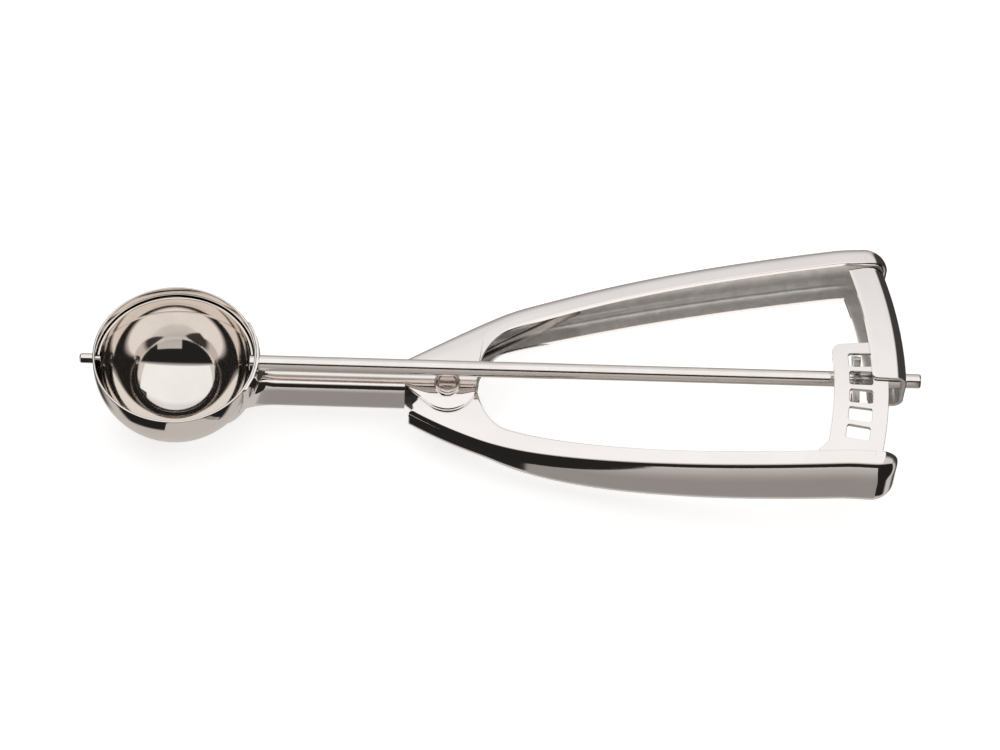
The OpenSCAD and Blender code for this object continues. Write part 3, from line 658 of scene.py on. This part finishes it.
def rivet(materials):
    """Rivet with a rolled and dished upper head and a low domed lower head."""
    top, base = EAR_TOP + RIVET_HEAD_T, EAR_BOTTOM - RIVET_HEAD_T
    dish, rim = top - DISH_DEPTH, (RIVET_HEAD_R - DISH_R) / 2
    corner, d = LOW_HEAD_CORNER, DISH_CORNER
    profile = [(0, base), (RIVET_HEAD_R * LOW_HEAD_FLAT, base)]
    profile += arc2(RIVET_HEAD_R - corner, base + corner, corner, 270, 360, 5)
    profile += [(RIVET_HEAD_R, EAR_BOTTOM), (RIVET_R, EAR_BOTTOM), (RIVET_R, EAR_TOP),
                (RIVET_HEAD_R - STEP_EDGE / 2, EAR_TOP), (RIVET_HEAD_R, EAR_TOP + STEP_EDGE),
                (RIVET_HEAD_R, top - rim)]
    profile += arc2(RIVET_HEAD_R - rim, top - rim, rim, 10, 170, 8)
    profile += [(DISH_R - DISH_WALL / 2, top - rim - STEP_EDGE)]
    profile += arc2(DISH_R - DISH_WALL - d, dish + d, d, 0, -90, 5)
    profile += [(DISH_R * 0.4, dish - 0.6 * DISH_SAG), (0, dish - DISH_SAG)]
    return lathe("pivot_rivet_heads", profile, materials, centre=(PIVOT_X, PIVOT_Y, 0), turns=72)


def plate(name, outline, holes, thickness, materials, edge=0.12):
    """Flat plate with eased edges, from an outline and holes in mm, centred on z = 0."""
    curve = bpy.data.curves.new(name, "CURVE")
    curve.dimensions, curve.fill_mode = "2D", "BOTH"
    curve.extrude, curve.bevel_depth = (thickness / 2 - edge) * MM, edge * MM
    curve.bevel_resolution, curve.offset = 2, -edge * MM
    for loop in [outline, *holes]:
        spline = curve.splines.new("POLY")
        spline.points.add(len(loop) - 1)
        for point, (x, y) in zip(spline.points, loop):
            point.co = (x * MM, y * MM, 0, 1)
        spline.use_cyclic_u = True
    drawn = linked(name, curve)
    graph = bpy.context.evaluated_depsgraph_get()
    graph.update()
    mesh = bpy.data.meshes.new_from_object(drawn.evaluated_get(graph))
    bpy.data.objects.remove(drawn)
    mesh.name = name
    mesh.materials.clear()
    for m in materials:
        mesh.materials.append(m)
    obj = linked(name, cleaned(mesh))
    shade(obj, PLATE_SHARP)
    for polygon in mesh.polygons:
        polygon.use_smooth = abs(polygon.normal.z) < FLAT_FACE
    return obj


def around(centre, r, a0, a1, n):
    """Arc with its angles in radians."""
    return arc2(centre[0], centre[1], r, degrees(a0), degrees(a1), n)


def rack(materials):
    """Slotted plate whose root is joggled up under the lever's flange."""
    c = (PIVOT_X, PIVOT_Y)
    free_in, free_out = RACK_HIGH - RACK_CORNER / RACK_IN, RACK_HIGH - RACK_CORNER / RACK_OUT
    flare_start = RACK_LOW + FLARE_FOOT_BEND * RACK_FLARE / RACK_IN
    high = degrees(RACK_HIGH)
    inner_c = turned(RACK_IN + RACK_CORNER, 0, free_in, c)
    outer_c = turned(RACK_OUT - RACK_CORNER, 0, free_out, c)
    tab_in_x, tab_in_y = turned(RACK_IN, 0, RACK_LOW, c)
    tab_in_x -= RACK_FLARE
    tab_out_x = turned(RACK_OUT, 0, RACK_LOW, c)[0]
    low = -TAB_EDGE - TAB_DEPTH
    outline = around(c, RACK_IN, flare_start, free_in, 16)
    outline += arc2(*inner_c, RACK_CORNER, 180 + high, 90 + high, 8)
    outline += arc2(*outer_c, RACK_CORNER, 90 + high, high, 8)
    outline += around(c, RACK_OUT, free_out, RACK_LOW, 20)
    outline += [(tab_out_x, y) for y in spaced(tab_in_y, low, 8)[1:]]
    outline += [(tab_in_x, y) for y in spaced(low, tab_in_y, 8)]
    holes = []
    for i in range(RACK_SLOTS):
        t = radians(RACK_FIRST - i * RACK_PITCH)
        w, h, r = SLOT_LEN / 2 - SLOT_CORNER, SLOT_W / 2 - SLOT_CORNER, SLOT_CORNER
        loop = arc2(w, h, r, 0, 90, 4) + arc2(-w, h, r, 90, 180, 4)
        loop += arc2(-w, -h, r, 180, 270, 4) + arc2(w, -h, r, 270, 360, 4)
        holes.append([turned(RACK_R + x, y, t, c) for x, y in loop])
    obj = plate("rack_slotted_plate", outline, holes, RACK_T, materials)
    for v in obj.data.vertices:
        x, y = v.co.x / MM, v.co.y / MM
        rise = max(0.0, min(1.0, (JOGGLE_LEAD - TAB_EDGE - y) / JOGGLE_RUN))
        rise = rise * rise * (3 - 2 * rise)
        under = top_z(x, LEVER_TOP) - SHEET - SIDE_GAP / 2 - RACK_T / 2
        v.co.z += (RACK_Z + (under - RACK_Z) * rise) * MM
    return obj


def pinion(materials):
    """Stamped star with a turned hub."""
    tip, root = PITCH_R + TOOTH_TIP, PITCH_R - TOOTH_ROOT
    outline = []
    step, half = 2 * pi / TEETH, asin(TOOTH_BASE_W / 2 / root)
    for i in range(TEETH):
        t = -TOOTH_PHASE + step * i
        flank = [(TOOTH_BASE_W / 2, root + TOOTH_FOOT),
                 (TOOTH_TIP_W / 2 + TOOTH_FLANK, tip - TOOTH_EASE), (TOOTH_TIP_W / 2 - TOOTH_EASE_W, tip)]
        for x, y in flank + [(-x, y) for x, y in flank[::-1]]:
            outline.append(turned(x, y, t))
        for k in range(5):
            a = t + pi / 2 + half + (step - 2 * half) * (k + 0.5) / 5
            outline.append((root * cos(a), root * sin(a)))
    hole = [(ROD_R * cos(2 * pi * k / 32), ROD_R * sin(2 * pi * k / 32)) for k in range(32)]
    obj = plate("pinion_star", outline, [hole], PINION_T, materials, PINION_EDGE)
    for v in obj.data.vertices:
        v.co = (PINION_X * MM + v.co.z, v.co.x, v.co.y)
    start, stop = PINION_X, PINION_X + PINION_T / 2 + HUB_LEN
    profile = [(ROD_R, start), (HUB_R, start), (HUB_R, stop - HUB_CHAMFER),
               (HUB_R - HUB_CHAMFER, stop), (ROD_R, stop), (ROD_R, start)]
    hub = lathe("hub", profile, materials, axis="X", turns=48)
    bm = bmesh.new()
    bm.from_mesh(obj.data)
    bm.from_mesh(hub.data)
    bmesh.ops.recalc_face_normals(bm, faces=bm.faces)
    bm.to_mesh(obj.data)
    bm.free()
    bpy.data.objects.remove(hub)
    shade(obj, PLATE_SHARP)
    return obj


def mixed_line(a, b, n):
    """Points from a towards b in n steps, without b."""
    return [(a[0] + (b[0] - a[0]) * k / n, a[1] + (b[1] - a[1]) * k / n) for k in range(n)]


def spring(materials):
    """Flat strip bent round the bush, with a leg against each arm."""
    r = COIL_R + SPRING_T / 2
    legs = []
    for side in (1, -1):
        tip = (SPRING_TIP_X, side * (web(side, SPRING_TIP_X) - SHEET - SPRING_T / 2 - SPRING_LEG_GAP))
        bend = (PIVOT_X + SPRING_BEND_X, PIVOT_Y + side * SPRING_BEND_Y)
        legs.append(mixed_line(tip, bend, 10) + mixed_line(bend, (PIVOT_X, PIVOT_Y + side * r), 5))
    line = legs[0] + arc2(PIVOT_X, PIVOT_Y, r, 90, 270, 20) + legs[1][::-1]
    smooth = [line[0]] + [((a[0] + 2 * b[0] + c[0]) / 4, (a[1] + 2 * b[1] + c[1]) / 4)
                          for a, b, c in zip(line, line[1:], line[2:])] + [line[-1]]
    rows = []
    for i, p in enumerate(smooth):
        a, b = smooth[max(0, i - 1)], smooth[min(len(smooth) - 1, i + 1)]
        size = hypot(b[0] - a[0], b[1] - a[1])
        n = (-(b[1] - a[1]) / size * SPRING_T / 2, (b[0] - a[0]) / size * SPRING_T / 2)
        low, high = SPRING_MID - SPRING_W / 2, SPRING_MID + SPRING_W / 2
        rows.append([(p[0] + n[0], p[1] + n[1], low), (p[0] + n[0], p[1] + n[1], high),
                     (p[0] - n[0], p[1] - n[1], high), (p[0] - n[0], p[1] - n[1], low)])
    points = [p for row in rows for p in row]
    faces = grid_faces(len(rows), 4, closed=True)
    faces += [([0, 1, 2, 3], 0), ([len(points) - 4 + k for k in range(4)], 0)]
    return ease(piece("return_spring", points, faces, materials), 0.15)


# ---- Surfaces ----

def put(tree, kind, values=(), **settings):
    """New node with its settings; values go to its inputs."""
    node = tree.nodes.new(kind)
    for key, value in settings.items():
        setattr(node, key, value)
    for label, value in dict(values).items():
        node.inputs[label].default_value = value
    return node


def join(tree, a, b):
    """Links an output to an input."""
    tree.links.new(a, b)


def share_of(tree, value, start, stop):
    """Share of the way of a value from start to stop, from 0 to 1."""
    node = put(tree, "ShaderNodeMapRange", {"From Min": start, "From Max": stop})
    join(tree, value, node.inputs["Value"])
    return node.outputs["Result"]


def blended(tree, share, a, b):
    """Colour a with colour b over it by share; each is a socket or a plain colour."""
    node = put(tree, "ShaderNodeMix", data_type="RGBA")
    join(tree, share, node.inputs["Factor"])
    for label, colour in (("A", a), ("B", b)):
        if isinstance(colour, tuple):
            node.inputs[label].default_value = (*colour, 1)
        else:
            join(tree, colour, node.inputs[label])
    return node.outputs["Result"]


def new_group(name, inputs, outputs):
    """Empty node group with its own inputs (label, kind, value) and outputs (label, kind)."""
    group = bpy.data.node_groups.new(name, "ShaderNodeTree")
    for label, kind, value in inputs:
        socket = group.interface.new_socket(name=label, in_out="INPUT", socket_type=kind)
        if value is not None:
            socket.default_value = value
    for label, kind in outputs:
        group.interface.new_socket(name=label, in_out="OUTPUT", socket_type=kind)
    return group, put(group, "NodeGroupInput"), put(group, "NodeGroupOutput")


def polish_marks():
    """Faint long scratches left by the polishing wheel."""
    group, given, out = new_group(
        "Polish marks",
        [("Vector", "NodeSocketVector", None), ("Scale", "NodeSocketFloat", 1.0),
         ("Stretch", "NodeSocketVector", (1.0, 12.0, 12.0))],
        [("Height", "NodeSocketFloat"), ("Mask", "NodeSocketFloat")])
    stretch = put(group, "ShaderNodeVectorMath", operation="MULTIPLY")
    join(group, given.outputs["Vector"], stretch.inputs[0])
    join(group, given.outputs["Stretch"], stretch.inputs[1])
    fine = put(group, "ShaderNodeTexNoise", {"Detail": 3.0, "Roughness": 0.6})
    join(group, stretch.outputs[0], fine.inputs["Vector"])
    join(group, given.outputs["Scale"], fine.inputs["Scale"])
    join(group, fine.outputs["Fac"], out.inputs["Height"])
    join(group, share_of(group, fine.outputs["Fac"], 0.55, 0.75), out.inputs["Mask"])
    return group


def mottling():
    """Soft cloudy patches, as on pickled or handled sheet."""
    group, given, out = new_group(
        "Mottling",
        [("Vector", "NodeSocketVector", None), ("Scale", "NodeSocketFloat", 100.0)],
        [("Mask", "NodeSocketFloat"), ("Height", "NodeSocketFloat")])
    broad = put(group, "ShaderNodeTexNoise", {"Detail": 5.0, "Roughness": 0.62, "Distortion": 0.6})
    join(group, given.outputs["Vector"], broad.inputs["Vector"])
    join(group, given.outputs["Scale"], broad.inputs["Scale"])
    join(group, broad.outputs["Fac"], out.inputs["Height"])
    join(group, share_of(group, broad.outputs["Fac"], 0.32, 0.68), out.inputs["Mask"])
    return group


MARKS, PATCHES = polish_marks(), mottling()


def steel(name, light, dark, rough, patch_scale, mark_scale=900.0, stretch=(1, 12, 12),
          wave=0.0, grain=0.02, metallic=1.0):
    """Stainless steel: light and dark are its colours, rough its roughness from and to."""
    material = bpy.data.materials.new(name)
    material.use_nodes = True
    tree = material.node_tree
    shader = tree.nodes["Principled BSDF"]
    shader.inputs["Metallic"].default_value = metallic
    place = put(tree, "ShaderNodeTexCoord").outputs["Object"]
    patches = put(tree, "ShaderNodeGroup", {"Scale": patch_scale}, node_tree=PATCHES)
    join(tree, place, patches.inputs["Vector"])
    marks = put(tree, "ShaderNodeGroup", {"Scale": mark_scale, "Stretch": stretch}, node_tree=MARKS)
    join(tree, place, marks.inputs["Vector"])
    join(tree, blended(tree, patches.outputs["Mask"], dark, light), shader.inputs["Base Color"])
    spread = put(tree, "ShaderNodeMapRange", {"To Min": rough[0], "To Max": rough[1]})
    join(tree, marks.outputs["Mask"], spread.inputs["Value"])
    join(tree, spread.outputs["Result"], shader.inputs["Roughness"])
    bump = put(tree, "ShaderNodeBump", {"Strength": 1.0, "Distance": grain * MM})
    join(tree, marks.outputs["Height"], bump.inputs["Height"])
    if wave:
        swell = put(tree, "ShaderNodeBump", {"Distance": wave * MM})
        join(tree, patches.outputs["Height"], swell.inputs["Height"])
        join(tree, swell.outputs["Normal"], bump.inputs["Normal"])
    join(tree, bump.outputs["Normal"], shader.inputs["Normal"])
    return material


POLISHED = steel("Polished pressing", (0.93, 0.885, 0.865), (0.89, 0.845, 0.82), (0.05, 0.12), 40,
                 wave=0.01, grain=0.0015)
DULL = steel("Dull inside of pressing", (0.95, 0.93, 0.91), (0.76, 0.74, 0.72), (0.3, 0.46), 260,
             stretch=(1, 4, 4), grain=0.02, metallic=0.6)
BOWL_STEEL = steel("Polished bowl", (0.88, 0.83, 0.79), (0.82, 0.77, 0.725), (0.05, 0.11), 60,
                   stretch=(6, 6, 14), grain=0.001)
ROD_STEEL = steel("Drawn rod", (0.92, 0.87, 0.84), (0.86, 0.80, 0.765), (0.12, 0.22), 120,
                  stretch=(1, 16, 16), grain=0.002)
PINION_STEEL = steel("Stamped pinion", (0.66, 0.65, 0.63), (0.42, 0.40, 0.38), (0.25, 0.42), 300,
                     grain=0.01)
SPRING_STEEL = steel("Spring strip", (0.34, 0.31, 0.29), (0.20, 0.18, 0.17), (0.2, 0.34), 160,
                     stretch=(2, 9, 9), grain=0.004)

# ---- The scoop ----

FINISH = {
    "bowl": BOWL_STEEL, "bowl_saddle": POLISHED, "fixed_handle": POLISHED, "end_strap": POLISHED,
    "pivot_rivet": ROD_STEEL, "pivot_bush": ROD_STEEL, "spring_fixed_leg": SPRING_STEEL,
    "squeeze_lever": POLISHED, "rack_plate": POLISHED, "spring_lever_leg": SPRING_STEEL,
    "drive_rod": ROD_STEEL, "pinion_gear": PINION_STEEL, "scraper_blade": BOWL_STEEL,
    "scraper_pin": ROD_STEEL,
}
for node, finish in FINISH.items():
    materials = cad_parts[node].data.materials
    materials.clear()
    materials.append(finish)

PIECES = [
    (fixed_handle([POLISHED, DULL]), "frame", "polished_steel", ("fixed_handle", "bowl_saddle")),
    (squeeze_lever([POLISHED, DULL]), "lever", "polished_steel", ("squeeze_lever",)),
    (end_strap([POLISHED, DULL]), "frame", "polished_steel", ("end_strap",)),
    (bowl([BOWL_STEEL]), "frame", "polished_steel", ("bowl",)),
    (rivet([ROD_STEEL]), "frame", "polished_steel", ("pivot_rivet",)),
    (rack([POLISHED]), "lever", "polished_steel", ("rack_plate",)),
    (drive_rod([ROD_STEEL]), "rod", "ground_steel", ("drive_rod",)),
    (scraper_stub([ROD_STEEL]), "rod", "ground_steel", ("scraper_pin",)),
    (scraper_band([BOWL_STEEL]), "rod", "polished_steel", ("scraper_blade",)),
    (pinion([PINION_STEEL]), "rod", "ground_steel", ("pinion_gear",)),
]
for made, body, finish, stands_for in PIECES:
    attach(made, body)
    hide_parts(*stands_for)

strip = spring([SPRING_STEEL])
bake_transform(strip)
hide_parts("spring_fixed_leg", "spring_lever_leg")


# ---- Room, lamps and camera ----

def levels(tree, value, low, high, stops):
    """Colour that follows a value between low and high; a stop is (value, colour)."""
    bands = put(tree, "ShaderNodeValToRGB")
    elements = bands.color_ramp.elements
    while len(elements) < len(stops):
        elements.new(0.5)
    for element, (at, colour) in zip(elements, stops):
        element.position = (at - low) / (high - low)
        element.color = (*colour, 1)
    join(tree, share_of(tree, value, low, high), bands.inputs["Fac"])
    return bands.outputs["Color"]


def tilt(tree, place):
    """Angle about the rod in degrees, from straight up towards the front."""
    parts = put(tree, "ShaderNodeSeparateXYZ")
    join(tree, place, parts.inputs[0])
    front = put(tree, "ShaderNodeMath", {1: -1.0}, operation="MULTIPLY")
    join(tree, parts.outputs["Y"], front.inputs[0])
    angle = put(tree, "ShaderNodeMath", operation="ARCTAN2")
    join(tree, front.outputs[0], angle.inputs[0])
    join(tree, parts.outputs["Z"], angle.inputs[1])
    in_degrees = put(tree, "ShaderNodeMath", operation="DEGREES")
    join(tree, angle.outputs[0], in_degrees.inputs[0])
    return in_degrees.outputs[0]


def warm(v):
    """Grey of brightness v with a warm cast."""
    return (v, v * 0.95, v * 0.91)


def plain(v):
    """Neutral grey of brightness v."""
    return (v, v, v)


def studio():
    """Grey room, black towards the front and the far corners, and light underneath."""
    world = bpy.data.worlds.new("Studio")
    bpy.context.scene.world = world
    world.use_nodes = True
    tree = world.node_tree
    tree.nodes.clear()
    place = put(tree, "ShaderNodeTexCoord").outputs["Generated"]
    parts = put(tree, "ShaderNodeSeparateXYZ")
    join(tree, place, parts.inputs[0])
    stops = [(-180, warm(0.58)), (-150, warm(0.56)), (-143, warm(0.33)), (-100, warm(0.39)),
             (-91, warm(0.36)), (-88, warm(0.57)), (-60, warm(0.70)), (26, warm(0.70)),
             (31, warm(0.018)), (168, warm(0.018)), (174, warm(0.57)), (180, warm(0.58))]
    room = levels(tree, tilt(tree, place), -180, 180, stops)
    aside = put(tree, "ShaderNodeMath", operation="ABSOLUTE")
    join(tree, parts.outputs["X"], aside.inputs[0])
    corner = put(tree, "ShaderNodeMath", operation="MULTIPLY")
    join(tree, share_of(tree, aside.outputs[0], 0.3, 0.4), corner.inputs[0])
    join(tree, share_of(tree, parts.outputs["Y"], 0.1, 0.3), corner.inputs[1])
    room = blended(tree, corner.outputs[0], room, warm(0.05))
    room = blended(tree, share_of(tree, parts.outputs["Z"], -0.86, -0.885), room, warm(0.57))
    path = put(tree, "ShaderNodeLightPath")
    light = put(tree, "ShaderNodeBackground")
    join(tree, blended(tree, path.outputs["Is Camera Ray"], room, (1.0, 1.0, 1.0)),
         light.inputs["Color"])
    out = put(tree, "ShaderNodeOutputWorld")
    join(tree, light.outputs[0], out.inputs["Surface"])


def lamp(name, points, faces, colour_of=None, strength=1.0):
    """Glowing surface that the camera doesn't see; colour_of draws its light from its place."""
    mesh = bpy.data.meshes.new(name)
    mesh.from_pydata(points, [], faces)
    obj = linked(name, mesh)
    material = bpy.data.materials.new(name)
    material.use_nodes = True
    tree = material.node_tree
    tree.nodes.clear()
    place = put(tree, "ShaderNodeTexCoord").outputs["Object"]
    glow = put(tree, "ShaderNodeEmission", {"Color": (*warm(1.0), 1), "Strength": strength})
    if colour_of:
        join(tree, colour_of(tree, place), glow.inputs["Color"])
    out = put(tree, "ShaderNodeOutputMaterial")
    join(tree, glow.outputs[0], out.inputs["Surface"])
    mesh.materials.append(material)
    obj.visible_camera = False
    return obj


def light_panel():
    """Large white panel above the scoop, dimmer towards the back."""
    x0, x1, x2, y0, y1, y2, z = -0.45, 0.32, 0.45, -0.17, 0.2, 1.5, 0.35

    def fall(tree, place):
        parts = put(tree, "ShaderNodeSeparateXYZ")
        join(tree, place, parts.inputs[0])
        stops = [(y0, plain(1)), (0.21, plain(1)), (0.28, plain(0.81)), (0.45, plain(0.78)),
                 (0.8, plain(0.70)), (y2, plain(0.52))]
        return levels(tree, parts.outputs["Y"], y0, y2, stops)

    outline = [(x0, y0, z), (x2, y0, z), (x2, y1, z), (x1, y1, z), (x1, y2, z), (x0, y2, z)]
    lamp("light_panel", outline, [(0, 1, 2, 3, 4, 5)], fall)


def front_card(name, x0, x1):
    """Grey card curved round the rod's axis, from the front down to below the scoop."""
    r, steps, low, high = 0.6, 36, 52, 164
    cut_from, cut_slope = 150, 0.0035       # the card's left side is cut back towards its foot
    points = []
    for turn in spaced(low, high, steps):
        a, cut = radians(turn), max(0.0, turn - cut_from) * cut_slope
        points += [(x0 + cut, -r * sin(a), r * cos(a)), (x1, -r * sin(a), r * cos(a))]
    faces = [(2 * k, 2 * k + 1, 2 * k + 3, 2 * k + 2) for k in range(steps)]
    stops = [(low, warm(0.57)), (58, warm(0.55)), (71, warm(0.48)), (88, warm(0.435)),
             (110, warm(0.36)), (146, warm(0.295)), (158, warm(0.33)), (high, warm(0.5))]
    lamp(name, points, faces, lambda tree, place: levels(tree, tilt(tree, place), low, high, stops))


def paper(name, x0, x1, y0, y1, strength):
    """Glowing patch on the floor, a painted reflection that only shows in the steel: it gives no diffuse
    light and casts no shadow.
    """
    level = -(BOWL_R + PAPER_GAP) * MM
    corners = [(x0, y0, level), (x1, y0, level), (x1, y1, level), (x0, y1, level)]
    obj = lamp(name, corners, [(0, 1, 2, 3)], strength=strength)
    obj.visible_diffuse = obj.visible_shadow = False


def floor():
    """Pale floor that keeps the scoop's shadow."""
    mesh = bpy.data.meshes.new("floor")
    size, level = 2.5, -(BOWL_R + FLOOR_GAP) * MM
    mesh.from_pydata([(-size, -size, level), (size, -size, level), (size, size, level),
                      (-size, size, level)], [], [(0, 1, 2, 3)])
    obj = linked("floor", mesh)
    material = bpy.data.materials.new("Pale floor")
    material.use_nodes = True
    tree = material.node_tree
    shader = tree.nodes["Principled BSDF"]
    shader.inputs["Base Color"].default_value = (0.80, 0.79, 0.78, 1)
    shader.inputs["Roughness"].default_value = 0.9
    shader.inputs["Specular IOR Level"].default_value = 0.0
    path = put(tree, "ShaderNodeLightPath")
    lift = put(tree, "ShaderNodeMath", {1: 0.7}, operation="MULTIPLY")
    join(tree, path.outputs["Is Camera Ray"], lift.inputs[0])
    shader.inputs["Emission Color"].default_value = (1, 1, 1, 1)
    join(tree, lift.outputs[0], shader.inputs["Emission Strength"])
    mesh.materials.append(material)
    obj.visible_glossy = False


def camera():
    """Camera that looks down at the scoop from the lever's side."""
    az, el, roll = radians(-2.0), radians(56.46), radians(3.266)
    distance, lens_px, picture_px, sensor = 968.945, 3519.538, 1000, 36.0
    target = Vector((89.437, -1.744, 0.0)) * MM
    back = Vector((sin(az) * cos(el), -cos(az) * cos(el), sin(el)))
    right = Vector((cos(az), sin(az), 0.0))
    up = back.cross(right)
    across = cos(roll) * right + sin(roll) * up
    above = -sin(roll) * right + cos(roll) * up
    data = bpy.data.cameras.new("camera")
    data.sensor_width, data.lens = sensor, sensor * lens_px / picture_px
    data.clip_start, data.clip_end = 0.05, 20.0
    obj = linked("camera", data)
    matrix = Matrix((across, above, back)).transposed().to_4x4()
    matrix.translation = target + distance * MM * back
    obj.matrix_world = matrix
    bpy.context.scene.camera = obj


studio()
light_panel()
front_card("front_card", x0=-0.057, x1=0.352)
# Painted reflections: glowing patches on the floor, near the arms and near the bowl, that show only in
# the steel.
paper("gap_painted_reflection", x0=0.105, x1=0.2, y0=-0.004, y1=0.034, strength=1.1)
paper("bowl_painted_reflection", x0=-0.005, x1=0.024, y0=-0.075, y1=-0.006, strength=0.58)
floor()
camera()
bpy.context.scene.view_settings.view_transform = "Standard"
